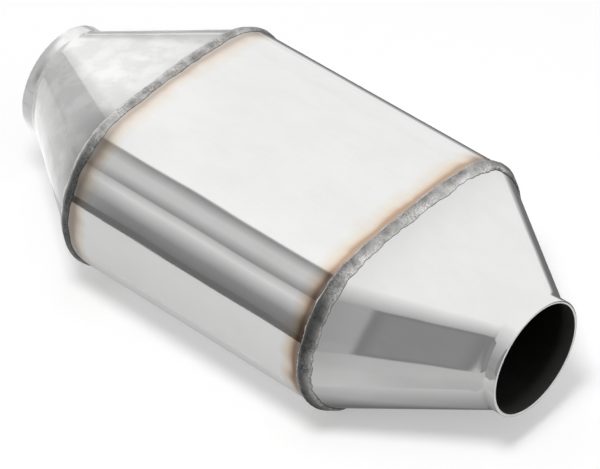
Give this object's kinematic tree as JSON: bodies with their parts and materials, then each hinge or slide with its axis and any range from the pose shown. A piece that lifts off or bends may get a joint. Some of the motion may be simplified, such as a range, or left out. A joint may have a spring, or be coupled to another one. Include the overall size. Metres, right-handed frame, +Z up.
{
  "type": "catalytic converter",
  "caption": "Oval sheet-steel catalytic converter with a welded cone and a round pipe collar at each end, and ceramic honeycomb bricks inside.",
  "frame": {"origin": "middle of the can, on the gas axis", "axes": "+X along the gas axis towards the outlet, +Y across the can's width, +Z up through its height"},
  "size_m": [0.292, 0.1526, 0.0936],
  "materials": {
    "sheet_steel": "satin rolled stainless sheet, straw and brown heat tint beside the welds",
    "weld_metal": "rough grey weld bead",
    "brick_ceramic": "matt, square cells",
    "mat_fibre": "pressed fibre mat",
    "wire_mesh": "knitted fine wire"
  },
  "bodies": {
    "root": {"can_shell": "sheet_steel", "inlet_cone": "sheet_steel", "outlet_cone": "sheet_steel", "inlet_ring_weld": "weld_metal", "outlet_ring_weld": "weld_metal", "can_seam_weld": "weld_metal", "inlet_cone_seam_weld": "weld_metal", "outlet_cone_seam_weld": "weld_metal", "inlet_brick": "brick_ceramic", "outlet_brick": "brick_ceramic", "inlet_mat": "mat_fibre", "outlet_mat": "mat_fibre", "inlet_outer_seal": "wire_mesh", "inlet_inner_seal": "wire_mesh", "outlet_inner_seal": "wire_mesh", "outlet_outer_seal": "wire_mesh", "brick_spacer": "sheet_steel"}
  },
  "joints": []
}
